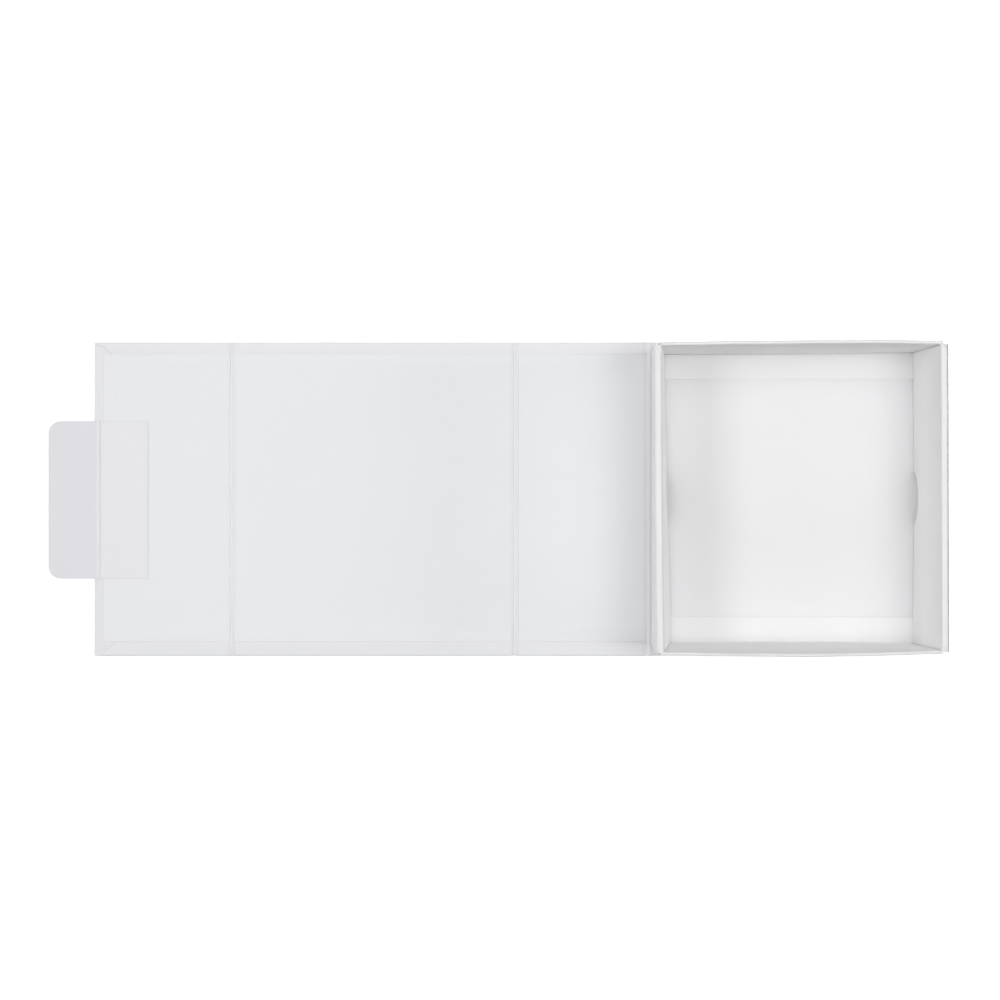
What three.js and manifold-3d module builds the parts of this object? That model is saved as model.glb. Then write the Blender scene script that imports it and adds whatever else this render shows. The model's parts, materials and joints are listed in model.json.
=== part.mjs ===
// Gift box of white paper over grey board, opened out flat: a cover of four panels
// (flap, lid, spine, base) joined by paper hinges, and a folded card tray glued on the base.
// Millimetres, +Z up. X runs from the tuck tab on the left to the tray on the right,
// Y from the front edge to the back edge. Places along X are worked out from the
// left edge of the base panel, and the whole box is centred at the end.
import * as THREE from 'three';
import { mergeVertices } from 'three/addons/utils/BufferGeometryUtils.js';
import Module from 'manifold-3d';

// Sheet stock
const boardThickness = 1.6;
const wrapThickness = 0.2;
const linerThickness = 0.15;
const cardThickness = 1.0;
const tabThickness = 0.45;
const padThickness = 1.5;
const glueLine = 0.05;

// Tray
const trayLength = 171.55;
const trayWidth = 187.2;
const trayHeight = 80;
const rimWidth = 4.5;
const rimRadius = 1.2;
const rimLip = 2.0;
const endRimDrop = 0.4;
const foldGap = 0.1;
const flangeWidth = 15.6;
const wallLean = THREE.MathUtils.degToRad(3);
const innerPanelSlope = THREE.MathUtils.degToRad(4.5);
const dustFlapLength = 45;
const dustFlapTaper = 9;
const dustFlapDrop = 3.5;
const thumbNotchWidth = 33;
const thumbNotchHeight = 12.9;

// Cover: how far it stands out past the tray on each side, its hinges and its papers
const spineSquare = 0.95;
const flapSquare = 4.9;
const backSquare = 5.7;
const frontSquare = 7.1;
const hingeGap = 3.2;
const turnIn = 15.6;
const linerSetBackBack = 7.5;
const linerSetBackFront = 9.1;
const linerSetBackSide = 5.9;

// Tuck tab
const tongueLength = 32.4;
const anchorLength = 31.1;
const tabWidth = 100.5;
const tabFrontShift = 0.5;
const tongueCornerRadius = 11.5;

// Clearances
const movingClearance = 0.3;
const lidClearance = 0.6;
const spineSeatClearance = 0.375;
const flapFootClearance = 0.2;
const tabClearance = 0.25;
const tongueClearance = 0.275;
const pocketClearance = 1.2;
const padInset = 7;
const cutOverrun = 5;

// Levels through the thickness of a panel, from the table up
const boardBottom = wrapThickness + glueLine;
const boardTop = boardBottom + boardThickness;
const lowLinerBottom = boardTop + glueLine;
const lowLinerTop = lowLinerBottom + linerThickness;
const turnInBottom = boardTop + glueLine;
const turnInTop = turnInBottom + wrapThickness;
const highLinerBottom = turnInTop + glueLine;
const panelThickness = highLinerBottom + linerThickness;

// Levels of the tray on the base panel
const padBottom = lowLinerTop + glueLine;
const padTop = padBottom + padThickness;
const trayBottom = padTop + glueLine;
const floorTop = trayBottom + cardThickness;
const rimTop = trayBottom + trayHeight;
const flangeBottom = floorTop + glueLine;
const flangeTop = flangeBottom + cardThickness;

// The closed box gives the lengths of the spine and the flap
const closedHeight = rimTop + lidClearance + panelThickness;
const spineSeat = panelThickness + spineSeatClearance;
const flapStandOff = tabClearance + tabThickness + glueLine;
const flapReach = panelThickness + flapStandOff;
const flapDrop = hingeGap + wrapThickness - flapReach;
const baseLength = spineSquare + trayLength + flapSquare;
const lidLength = baseLength;
const spineLength = closedHeight - 2 * spineSeat;
const flapLength = closedHeight - flapDrop - flapFootClearance;
const creaseInset = trayBottom - tongueClearance - flapFootClearance;

// The panels' places along X, from the base panel's left edge
const spineRight = -hingeGap;
const spineLeft = spineRight - spineLength;
const lidRight = spineLeft - hingeGap;
const lidLeft = lidRight - lidLength;
const flapRight = lidLeft - hingeGap;
const flapLeft = flapRight - flapLength;
const creaseX = flapLeft + creaseInset;
const tongueTip = creaseX - tongueLength;

// The cover's edges and the tray's middle along Y
const coverDepth = frontSquare + trayWidth + backSquare;
const coverBack = coverDepth / 2;
const coverFront = -coverDepth / 2;
const trayMiddleY = coverBack - backSquare - trayWidth / 2;
const linerBack = coverBack - linerSetBackBack;
const linerFront = coverFront + linerSetBackFront;

// The tray's faces
const trayLeft = spineSquare;
const trayRight = trayLeft + trayLength;
const endWallThickness = 2 * cardThickness + foldGap;
const endWallHeight = trayHeight - endRimDrop;
const innerHalfWidth = trayWidth / 2 - endWallThickness;
const sideHalfAtRim = innerHalfWidth - movingClearance;
const dustFlapOut = cardThickness + movingClearance + cardThickness;
const endInnerInset = dustFlapOut + foldGap + foldGap;
const innerPanelHang = trayHeight - rimLip - movingClearance / 2;
const innerPanelLength = innerPanelHang - (flangeTop - trayBottom) - movingClearance;

const wasm = await Module();
wasm.setup();

function toManifold(geometry) {
  const bare = geometry.clone();
  bare.deleteAttribute('normal');
  bare.deleteAttribute('uv');
  const merged = mergeVertices(bare);
  return new wasm.Manifold(new wasm.Mesh({
    numProp: 3,
    vertProperties: new Float32Array(merged.attributes.position.array),
    triVerts: new Uint32Array(merged.index.array),
  }));
}

function toGeometry(solid) {
  const mesh = solid.getMesh();
  const geometry = new THREE.BufferGeometry();
  geometry.setAttribute('position', new THREE.BufferAttribute(mesh.vertProperties, 3));
  geometry.setIndex(new THREE.BufferAttribute(mesh.triVerts, 1));
  return geometry;
}

// A block between two corners
function block(x0, x1, y0, y1, z0, z1) {
  const geometry = new THREE.BoxGeometry(x1 - x0, y1 - y0, z1 - z0);
  return geometry.translate((x0 + x1) / 2, (y0 + y1) / 2, (z0 + z1) / 2);
}

// A shape drawn in X and Z, extruded along Y from y0 to y1
function alongY(shape, y0, y1) {
  const geometry = new THREE.ExtrudeGeometry(shape, { depth: y1 - y0, bevelEnabled: false, curveSegments: 6 });
  geometry.rotateX(Math.PI / 2);
  return geometry.translate(0, y1, 0);
}

// A shape drawn in Y and Z, extruded along X from x0 to x1
function alongX(shape, x0, x1, curveSegments = 12) {
  const geometry = new THREE.ExtrudeGeometry(shape, { depth: x1 - x0, bevelEnabled: false, curveSegments });
  geometry.rotateX(Math.PI / 2);
  geometry.rotateZ(Math.PI / 2);
  return geometry.translate(x0, 0, 0);
}

function outline(points) {
  return new THREE.Shape(points.map(([a, b]) => new THREE.Vector2(a, b)));
}

// Materials: white printed paper, uncoated board and the tray's white card
const materialOf = (color, roughness) => new THREE.MeshStandardMaterial({ color, roughness, metalness: 0 });
const wrapPaper = () => materialOf(0xe9e9ec, 0.62);
const linerPaper = () => materialOf(0xe8e9eb, 0.7);
const greyBoard = () => materialOf(0x9a9488, 0.95);
const trayCard = () => materialOf(0xecebeb, 0.66);
const tabCard = () => materialOf(0xe6e5ea, 0.6);

const box = new THREE.Group();

function add(name, geometry, material, parent = box) {
  const mesh = new THREE.Mesh(geometry, material);
  mesh.name = name;
  parent.add(mesh);
  return mesh;
}

// One cover panel: a board, the wrap turned in over its free edges, and the liner
function panelBoard(x0, x1, turned) {
  const edge = wrapThickness + glueLine;
  return block(
    x0 + (turned.left ? edge : 0),
    x1 - (turned.right ? edge : 0),
    coverFront + edge,
    coverBack - edge,
    boardBottom,
    boardTop,
  );
}

function panelWrap(x0, x1, turned) {
  const sheet = toManifold(block(x0, x1, coverFront, coverBack, 0, turnInTop));
  const pocket = toManifold(block(
    turned.left ? x0 + wrapThickness : x0 - cutOverrun,
    turned.right ? x1 - wrapThickness : x1 + cutOverrun,
    coverFront + wrapThickness,
    coverBack - wrapThickness,
    wrapThickness,
    turnInBottom,
  ));
  const window = toManifold(block(
    turned.left ? x0 + turnIn : x0 - cutOverrun,
    turned.right ? x1 - turnIn : x1 + cutOverrun,
    coverFront + turnIn,
    coverBack - turnIn,
    (wrapThickness + turnInBottom) / 2,
    turnInTop + cutOverrun,
  ));
  return toGeometry(sheet.subtract(pocket).subtract(window));
}

// The liner lies on the board and steps up over the turned-in edges of the wrap
function panelLiner(x0, x1, turned) {
  const step = turnIn + movingClearance;
  const high = [
    x0 + (turned.left ? linerSetBackSide : 0),
    x1 - (turned.right ? linerSetBackSide : 0),
    linerFront,
    linerBack,
  ];
  const low = [
    turned.left ? x0 + step : x0,
    turned.right ? x1 - step : x1,
    coverFront + step,
    coverBack - step,
  ];
  const lowInner = [
    turned.left ? low[0] + linerThickness : low[0] - cutOverrun,
    turned.right ? low[1] - linerThickness : low[1] + cutOverrun,
    low[2] + linerThickness,
    low[3] - linerThickness,
  ];
  const upper = toManifold(block(...high, highLinerBottom, panelThickness));
  const middle = toManifold(block(...low, lowLinerBottom, panelThickness));
  const hollow = toManifold(block(...lowInner, lowLinerTop, panelThickness + cutOverrun));
  return toGeometry(upper.add(middle).subtract(hollow));
}

const panels = [
  { name: 'base', x0: 0, x1: baseLength, turned: { right: true } },
  { name: 'spine', x0: spineLeft, x1: spineRight, turned: {} },
  { name: 'lid', x0: lidLeft, x1: lidRight, turned: {} },
  { name: 'flap', x0: flapLeft, x1: flapRight, turned: { left: true } },
];
for (const { name, x0, x1, turned } of panels) {
  add(`${name}_board`, panelBoard(x0, x1, turned), greyBoard());
  add(`${name}_wrap`, panelWrap(x0, x1, turned), wrapPaper());
  add(`${name}_liner`, panelLiner(x0, x1, turned), linerPaper());
}

// Paper hinges: the wrap with its turned-in ends, and the liner pressed into the groove
const hingeLipTop = boardBottom + wrapThickness;
const grooveFloor = hingeLipTop + glueLine;

function hingeWrap(x0, x1) {
  const ends = outline([
    [coverFront, 0],
    [coverBack, 0],
    [coverBack, hingeLipTop],
    [coverBack - turnIn, hingeLipTop],
    [coverBack - turnIn, boardBottom],
    [coverBack - wrapThickness, boardBottom],
    [coverBack - wrapThickness, wrapThickness],
    [coverFront + wrapThickness, wrapThickness],
    [coverFront + wrapThickness, boardBottom],
    [coverFront + turnIn, boardBottom],
    [coverFront + turnIn, hingeLipTop],
    [coverFront, hingeLipTop],
  ]);
  return alongX(ends, x0, x1);
}

function hingeLiner(x0, x1) {
  const trough = outline([
    [x0, lowLinerTop],
    [x0, grooveFloor],
    [x1, grooveFloor],
    [x1, lowLinerTop],
    [x1 - linerThickness, lowLinerTop],
    [x1 - linerThickness, grooveFloor + linerThickness],
    [x0 + linerThickness, grooveFloor + linerThickness],
    [x0 + linerThickness, lowLinerTop],
  ]);
  return alongY(trough, linerFront, linerBack);
}

const hinges = [
  { name: 'spine_hinge', left: spineRight },
  { name: 'lid_hinge', left: lidRight },
  { name: 'flap_hinge', left: flapRight },
];
for (const { name, left } of hinges) {
  const x0 = left + glueLine;
  const x1 = left + hingeGap - glueLine;
  add(`${name}_wrap`, hingeWrap(x0, x1), wrapPaper());
  add(`${name}_liner`, hingeLiner(x0, x1), linerPaper());
}

// Tuck tab: an anchor glued inside the flap, and a tongue beyond a crease
const tabBottom = panelThickness + glueLine;
const tabTop = tabBottom + tabThickness;
const tabFront = -tabWidth / 2 - tabFrontShift;
const tabBack = tabWidth / 2 - tabFrontShift;
const creaseHalf = movingClearance / 2;
add(
  'tab_anchor',
  block(creaseX + creaseHalf, creaseX + anchorLength, tabFront, tabBack, tabBottom, tabTop),
  tabCard(),
);

function tongue() {
  const r = tongueCornerRadius;
  const shape = new THREE.Shape();
  shape.moveTo(creaseX - creaseHalf, tabFront);
  shape.lineTo(creaseX - creaseHalf, tabBack);
  shape.lineTo(tongueTip + r, tabBack);
  shape.absarc(tongueTip + r, tabBack - r, r, Math.PI / 2, Math.PI, false);
  shape.absarc(tongueTip + r, tabFront + r, r, Math.PI, Math.PI * 1.5, false);
  shape.closePath();
  const geometry = new THREE.ExtrudeGeometry(shape, { depth: tabThickness, bevelEnabled: false, curveSegments: 12 });
  return geometry.translate(0, 0, tabBottom);
}
add('tab_tongue', tongue(), tabCard());

// Grey-board pads lift the tray and leave a pocket for the tongue, open towards the flap
const closedCreaseX = baseLength + tabClearance;
const pocketEnd = closedCreaseX - tongueLength - pocketClearance;
const padStep = turnIn + movingClearance + linerThickness + movingClearance;
const padLeft = trayLeft + padInset;
const padRight = baseLength - padStep;
const padBack = coverBack - padStep;
const padFront = coverFront + padStep;
add('tray_pad_middle', block(padLeft, pocketEnd, padFront, padBack, padBottom, padTop), greyBoard());
add(
  'tray_pad_back',
  block(pocketEnd + glueLine, padRight, tabBack + pocketClearance, padBack, padBottom, padTop),
  greyBoard(),
);
add(
  'tray_pad_front',
  block(pocketEnd + glueLine, padRight, padFront, tabFront - pocketClearance, padBottom, padTop),
  greyBoard(),
);

// The tray hangs together in one group, in the middle of its width
const tray = new THREE.Group();
tray.position.y = trayMiddleY;
box.add(tray);
const traySide = trayWidth / 2;
const floorHalf = traySide - cardThickness - foldGap;
add(
  'tray_floor',
  block(
    trayLeft + cardThickness + movingClearance,
    trayRight - cardThickness - foldGap,
    -floorHalf,
    floorHalf,
    trayBottom,
    floorTop,
  ),
  trayCard(),
  tray,
);

// A side wall's section: the outer panel and the flat rim with round shoulders.
// It is drawn from the outer face, which is at 0, towards the inside of the tray.
function sideWallSection() {
  const inner = rimRadius - cardThickness;
  const shape = new THREE.Shape();
  shape.moveTo(0, 0);
  shape.lineTo(0, trayHeight - rimRadius);
  shape.absarc(rimRadius, trayHeight - rimRadius, rimRadius, Math.PI, Math.PI / 2, true);
  shape.absarc(rimWidth - rimRadius, trayHeight - rimRadius, rimRadius, Math.PI / 2, 0, true);
  shape.lineTo(rimWidth, trayHeight - rimLip);
  shape.lineTo(rimWidth - cardThickness, trayHeight - rimLip);
  shape.absarc(rimWidth - rimRadius, trayHeight - rimRadius, inner, 0, Math.PI / 2, false);
  shape.absarc(rimRadius, trayHeight - rimRadius, inner, Math.PI / 2, Math.PI, false);
  shape.lineTo(cardThickness, 0);
  shape.closePath();
  return shape;
}

// Both ends of the outer panel are cut at a slant, so that the rim fits between the end walls
function sideWall() {
  const long = toManifold(alongY(sideWallSection(), -traySide, traySide));
  const slanted = outline([
    [-traySide, 0],
    [traySide, 0],
    [sideHalfAtRim, trayHeight],
    [-sideHalfAtRim, trayHeight],
  ]);
  const sheet = toManifold(alongX(slanted, -cutOverrun, rimWidth + cutOverrun));
  return toGeometry(long.intersect(sheet));
}

// A side's inner panel: it hangs from the crease under the rim, its foot is just above the
// floor flanges, and a half-moon there is for a thumb. Drawn down from the crease at 0, with
// the face towards the inside of the tray at 0.
function innerPanel() {
  const half = innerHalfWidth - movingClearance;
  const foot = -innerPanelLength;
  const chordHalf = thumbNotchWidth / 2;
  const radius = (chordHalf ** 2 + thumbNotchHeight ** 2) / (2 * thumbNotchHeight);
  const centreZ = foot + thumbNotchHeight - radius;
  const edgeAngle = Math.asin((foot - centreZ) / radius);
  const shape = new THREE.Shape();
  shape.moveTo(-half, -movingClearance / 2);
  shape.lineTo(-half, foot);
  shape.lineTo(-chordHalf, foot);
  shape.absarc(0, centreZ, radius, Math.PI - edgeAngle, edgeAngle, true);
  shape.lineTo(half, foot);
  shape.lineTo(half, -movingClearance / 2);
  shape.closePath();
  return alongX(shape, -cardThickness, 0, 24);
}

// A dust flap: a card leaf that folds from an end wall into the hollow of a side wall.
// It is drawn from the fold at the end wall, at side = 1 for the back and -1 for the front.
function dustFlap(side) {
  const fold = traySide - cardThickness - foldGap;
  const free = fold - dustFlapLength;
  const low = cardThickness + movingClearance;
  const high = trayHeight - dustFlapDrop;
  const points = [
    [fold, low],
    [fold, high],
    [free + dustFlapTaper, high],
    [free, high - dustFlapTaper],
    [free, low + dustFlapTaper],
    [free + dustFlapTaper, low],
  ];
  const leaf = points.map(([y, z]) => [side * y, z]);
  const x0 = cardThickness + movingClearance;
  return alongX(outline(side > 0 ? leaf.reverse() : leaf), x0, x0 + cardThickness);
}

// The left wall leans outwards over the spine, from the crease at its foot. Its inner panel
// slopes further in, because its foot isn't pushed home.
const leftWall = new THREE.Group();
leftWall.position.set(trayLeft + cardThickness / 2, 0, trayBottom + cardThickness / 2);
leftWall.rotation.y = -wallLean;
tray.add(leftWall);
const leftWallPlace = new THREE.Group();
leftWallPlace.position.set(-cardThickness / 2, 0, -cardThickness / 2);
leftWall.add(leftWallPlace);
add('left_outer_wall', sideWall(), trayCard(), leftWallPlace);
add('left_back_dust_flap', dustFlap(1), trayCard(), leftWallPlace);
add('left_front_dust_flap', dustFlap(-1), trayCard(), leftWallPlace);
const leftInner = add('left_inner_panel', innerPanel(), trayCard(), leftWallPlace);
leftInner.position.set(rimWidth, 0, innerPanelHang);
leftInner.rotation.y = -innerPanelSlope;

// The right wall stands upright: the same pieces, turned to face the other way
const rightWall = new THREE.Group();
rightWall.position.set(trayRight, 0, trayBottom);
rightWall.rotation.z = Math.PI;
tray.add(rightWall);
add('right_outer_wall', sideWall(), trayCard(), rightWall);
add('right_back_dust_flap', dustFlap(-1), trayCard(), rightWall);
add('right_front_dust_flap', dustFlap(1), trayCard(), rightWall);
const rightInner = add('right_inner_panel', innerPanel(), trayCard(), rightWall);
rightInner.position.set(rimWidth, 0, innerPanelHang);

// An end wall: its outer panel rolls over at the rim, its inner panel goes down to the floor,
// and a flange at the inner panel's foot lies on the floor. Drawn from the outer face at 0.
function endWallSection() {
  const r = endWallThickness / 2;
  const centre = endWallHeight - r;
  const shape = new THREE.Shape();
  shape.moveTo(0, 0);
  shape.lineTo(0, centre);
  shape.absarc(r, centre, r, Math.PI, 0, true);
  shape.lineTo(endWallThickness, centre - rimLip);
  shape.lineTo(endWallThickness - cardThickness, centre - rimLip);
  shape.absarc(r, centre, r - cardThickness, 0, Math.PI, false);
  shape.lineTo(cardThickness, 0);
  shape.closePath();
  return shape;
}

const endWallOut = cardThickness + movingClearance;
const endInnerTop = endWallHeight - endWallThickness / 2 - rimLip - glueLine;
const endInnerFoot = cardThickness + glueLine;
for (const { name, turn } of [{ name: 'back', turn: Math.PI }, { name: 'front', turn: 0 }]) {
  const end = new THREE.Group();
  end.rotation.z = turn;
  end.position.set(turn ? trayRight : trayLeft, turn ? traySide : -traySide, trayBottom);
  tray.add(end);
  const outer = alongX(endWallSection(), endWallOut, trayLength - endWallOut);
  add(`${name}_end_wall`, outer, trayCard(), end);
  add(
    `${name}_inner_wall`,
    block(
      endInnerInset,
      trayLength - endInnerInset,
      endWallThickness - cardThickness,
      endWallThickness,
      endInnerFoot,
      endInnerTop,
    ),
    trayCard(),
    end,
  );
  add(
    `${name}_floor_flange`,
    block(
      endInnerInset,
      trayLength - endInnerInset,
      endWallThickness + glueLine,
      endWallThickness + glueLine + flangeWidth,
      flangeBottom - trayBottom,
      flangeTop - trayBottom,
    ),
    trayCard(),
    end,
  );
}

// The origin is under the middle of the opened box
box.position.x = -(tongueTip + baseLength) / 2;

export default box;
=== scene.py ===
# The finished surfaces of a white gift box, opened out flat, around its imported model.
# Metres throughout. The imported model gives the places; the sizes named here are those of the
# paper's folds, steps and grain. Left is -X, the front edge is -Y.
import json
import math

import bmesh
import bpy
from mathutils import Matrix, Vector, noise


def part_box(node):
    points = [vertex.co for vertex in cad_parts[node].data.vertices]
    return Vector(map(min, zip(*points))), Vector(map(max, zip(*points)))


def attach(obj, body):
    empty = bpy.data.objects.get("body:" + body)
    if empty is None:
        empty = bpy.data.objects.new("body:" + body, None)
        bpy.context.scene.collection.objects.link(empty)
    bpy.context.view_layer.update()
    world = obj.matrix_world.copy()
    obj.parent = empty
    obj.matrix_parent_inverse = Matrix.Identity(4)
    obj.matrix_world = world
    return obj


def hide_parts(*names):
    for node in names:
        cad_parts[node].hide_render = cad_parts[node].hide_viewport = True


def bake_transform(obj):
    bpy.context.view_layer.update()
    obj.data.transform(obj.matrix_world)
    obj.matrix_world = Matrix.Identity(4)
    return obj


MM = 0.001
# The width that a plain mesh is made with, before it is scaled
UNIT = 1.0

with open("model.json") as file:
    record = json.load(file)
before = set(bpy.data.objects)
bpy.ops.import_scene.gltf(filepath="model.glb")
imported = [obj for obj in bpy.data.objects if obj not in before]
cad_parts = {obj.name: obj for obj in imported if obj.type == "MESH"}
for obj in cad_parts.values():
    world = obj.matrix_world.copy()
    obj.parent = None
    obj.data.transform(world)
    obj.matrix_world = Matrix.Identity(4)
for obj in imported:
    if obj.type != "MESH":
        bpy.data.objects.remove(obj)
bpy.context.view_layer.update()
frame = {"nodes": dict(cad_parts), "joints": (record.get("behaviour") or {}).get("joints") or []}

# Sheet stock
WRAP_THICK = 0.2 * MM
LINER_THICK = 0.15 * MM
CARD_THICK = 1.0 * MM
TAB_THICK = 0.3 * MM

# Paper over the boards
TURN_IN = 15.6 * MM
EDGE_ROUND = 0.55 * MM
BOARD_ROUND = 0.3 * MM
LINER_EDGE = 0.07 * MM
SHOULDER = 0.8 * MM
STEP_RUN = 0.7 * MM
STEP_SPREAD = 7.0 * MM
STEP_CRISP_SHARE = 0.45
JOIN_SPARE = 0.5 * MM
BASE_FRONT_DRAW = 1.7 * MM

# Grooves at the hinges
GROOVE_WALL = 0.8 * MM
SPINE_GROOVE_FLOOR = 1.6 * MM
LID_GROOVE_FLOOR = 1.3 * MM
FLAP_GROOVE_FLOOR = 1.3 * MM
LINER_BED = 0.2 * MM

# Folds and cut edges of the tray card
RIM_LIP = 2.0 * MM
END_WALL_THICK = 2.1 * MM
END_ROLL = 0.95 * MM
CREASE_WIDTH = 0.45 * MM
BACK_CREASE_DEPTH = 0.5 * MM
FRONT_CREASE_DEPTH = 0.08 * MM
FLANGE_WIDTH = 15.65 * MM
CUT_EDGE = 0.1 * MM

# Spacing of a surface's cross cuts
LOOP_STEP = 12 * MM
WALL_STEP = 6 * MM
HINGE_STEP = 20 * MM
TAB_STEP = 8 * MM

# A point this near to a line is on it, and points this near to each other are one
ON_LINE = 0.1 * MM
SAME_POINT = 0.001 * MM

# Steps of a rounded edge or corner, and the angles in radians that tell a fold, a cut edge and
# a flat face
WRAP_SEGMENTS = 4
FOLD_SEGMENTS = 6
EASED_SEGMENTS = 2
CORNER_SEGMENTS = 10
NOTCH_SEGMENTS = 96
FOLD_ANGLE = 1.0
BOARD_EDGE_ANGLE = 0.5
SHARP_ANGLE = math.radians(35)
CUT_EDGE_ANGLE = math.radians(60)
FLAT_ANGLE = math.radians(1)

frame_nodes = frame["nodes"]
joints = {joint["name"]: joint for joint in frame["joints"]}


def low(node):
    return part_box(node)[0]


def high(node):
    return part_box(node)[1]


# Places that several pieces share
COVER_FRONT, COVER_BACK = low("lid_wrap").y, high("lid_wrap").y
LINER_FRONT, LINER_BACK = low("lid_liner").y, high("lid_liner").y
LIP_TOP = high("lid_wrap").z
LINER_TOP = high("lid_liner").z
LINER_LOW = high("lid_hinge_liner").z
TRAY_FOOT = low("tray_floor").z


# Mesh helpers
def block(bm, x0, x1, y0, y1, z0, z1):
    """A block between two corners."""
    made = bmesh.ops.create_cube(bm, size=UNIT)["verts"]
    bmesh.ops.scale(bm, vec=(x1 - x0, y1 - y0, z1 - z0), verts=made)
    bmesh.ops.translate(bm, vec=((x0 + x1) / 2, (y0 + y1) / 2, (z0 + z1) / 2), verts=made)


def cut(bm, place, normal, clear=False):
    """Cuts all faces along a plane, and with clear drops what lies beyond it."""
    everything = bm.verts[:] + bm.edges[:] + bm.faces[:]
    bmesh.ops.bisect_plane(
        bm, geom=everything, plane_co=place, plane_no=normal, clear_outer=clear
    )


def cross_cut(bm, axis, at):
    """Cuts all faces square across an axis."""
    place = Vector((0, 0, 0))
    place[axis] = at
    normal = Vector((0, 0, 0))
    normal[axis] = 1
    cut(bm, place, normal)


def loops_along(bm, axis, start, stop, step):
    """Cross cuts at equal steps along an axis, so that the surface can bend there."""
    count = max(2, round((stop - start) / step))
    for index in range(1, count):
        cross_cut(bm, axis, start + (stop - start) * index / count)


def bevel(bm, geom, offset, segments, affect="EDGES"):
    """Rounds edges, or a sheet's corners where affect is VERTICES."""
    bmesh.ops.bevel(
        bm,
        geom=geom,
        offset=offset,
        offset_type="OFFSET",
        segments=segments,
        profile=0.5,
        affect=affect,
        material=-1,
    )


def folds(bm, least_angle=FOLD_ANGLE):
    """The edges where two faces meet at a sharp angle."""
    return [e for e in bm.edges if len(e.link_faces) == 2 and e.calc_face_angle() > least_angle]


def smoothstep(value):
    """0 below 0, 1 above 1, and a smooth rise between them."""
    share = min(1.0, max(0.0, value))
    return share * share * (3 - 2 * share)


def bend(share, bend_shares):
    """How far a card has bent, a share of the way along it: a smooth curve through bend_shares,
    which are equally spaced along it and are shares of its thickness."""
    last = len(bend_shares) - 1
    place = min(max(share, 0), 1) * last
    index = min(int(place), last - 1)
    part = place - index
    before, start = bend_shares[max(index - 1, 0)], bend_shares[index]
    end, after = bend_shares[index + 1], bend_shares[min(index + 2, last)]
    slope = end - before
    curve = 2 * before - 5 * start + 4 * end - after
    turn = 3 * (start - end) + after - before
    return CARD_THICK * (start + 0.5 * part * (slope + part * (curve + part * turn)))


def facing(bm, direction):
    """Turns an open sheet's faces so that on the whole they look along direction."""
    total = sum((f.normal * f.calc_area() for f in bm.faces), Vector())
    if total.dot(Vector(direction)) < 0:
        bmesh.ops.reverse_faces(bm, faces=bm.faces[:])


def applied(piece):
    """Makes the piece's modifiers part of its mesh."""
    depsgraph = bpy.context.evaluated_depsgraph_get()
    piece.data = bpy.data.meshes.new_from_object(piece.evaluated_get(depsgraph))
    piece.modifiers.clear()


def shaded(piece):
    """Smooth over bends, crisp at cut edges."""
    piece.data.shade_smooth()
    piece.data.set_sharp_from_angle(angle=SHARP_ANGLE)


def eased_edges(piece, width, material=-1):
    """Takes the sharpness off a card's cut edges."""
    edge = piece.modifiers.new("cut edge", "BEVEL")
    edge.width = width
    edge.segments = 1
    edge.limit_method = "ANGLE"
    edge.angle_limit = CUT_EDGE_ANGLE
    edge.material = material
    applied(piece)
    shaded(piece)


FOLD_ATTRIBUTE = "fold"


def mark_fold_shade(piece, shade_and_wear):
    """Writes how much painted shade and fold wear darken the sheet at each point, from 0 to 1."""
    marks = piece.data.attributes.new(FOLD_ATTRIBUTE, "FLOAT", "POINT")
    for v, mark in zip(piece.data.vertices, marks.data):
        mark.value = shade_and_wear(v)


def hump(share):
    """0 at both ends of a fold and 1 halfway."""
    return 4 * share * (1 - share)


def mark_rim_shade(piece, lowest, outwards, shade_and_wear):
    """Painted shade and fold wear on a rim's rounds above lowest: outer and inner amount given.
    """
    outer, inner = shade_and_wear

    def rim_shade_and_wear(v):
        if v.co.z < lowest:
            return 0
        most = outer if v.normal.dot(Vector(outwards)) > 0 else inner
        return most * hump(abs(v.normal.z))

    mark_fold_shade(piece, rim_shade_and_wear)


def make_piece(name, bm, materials, thickness=0, cut_edge=0, even=True):
    """A Blender object from a mesh. A sheet's thickness goes on the side its faces turn from."""
    mesh = bpy.data.meshes.new(name)
    bm.normal_update()
    bm.to_mesh(mesh)
    bm.free()
    piece = bpy.data.objects.new(name, mesh)
    bpy.context.scene.collection.objects.link(piece)
    for material in materials:
        mesh.materials.append(material)
    if thickness:
        solid = piece.modifiers.new("thickness", "SOLIDIFY")
        solid.thickness = thickness
        solid.offset = -1
        solid.use_even_offset = even
        solid.material_offset_rim = len(materials) - 1
        applied(piece)
    if cut_edge:
        eased_edges(piece, cut_edge, len(materials) - 1)
    shaded(piece)
    return piece


def front_drawn_in(piece):
    """Draws the base panel's front edge in towards the right, where the tray hides it."""
    start, end = low("base_wrap").x, high("base_wrap").x
    for v in piece.data.vertices:
        along = (v.co.x - start) / (end - start)
        near = max(0, v.co.y / COVER_FRONT)
        v.co.y += BASE_FRONT_DRAW * along * near ** 2


def place_piece(piece, body, node):
    """A piece that stays whole and moves with one body."""
    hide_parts(node)
    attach(piece, body)


def join_piece(piece, nodes):
    """A piece that takes the place of the given nodes, with its placing made part of its mesh."""
    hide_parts(*nodes)
    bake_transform(piece)


# Materials
def socket_value(node, name, value):
    node.inputs[name].default_value = value


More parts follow.
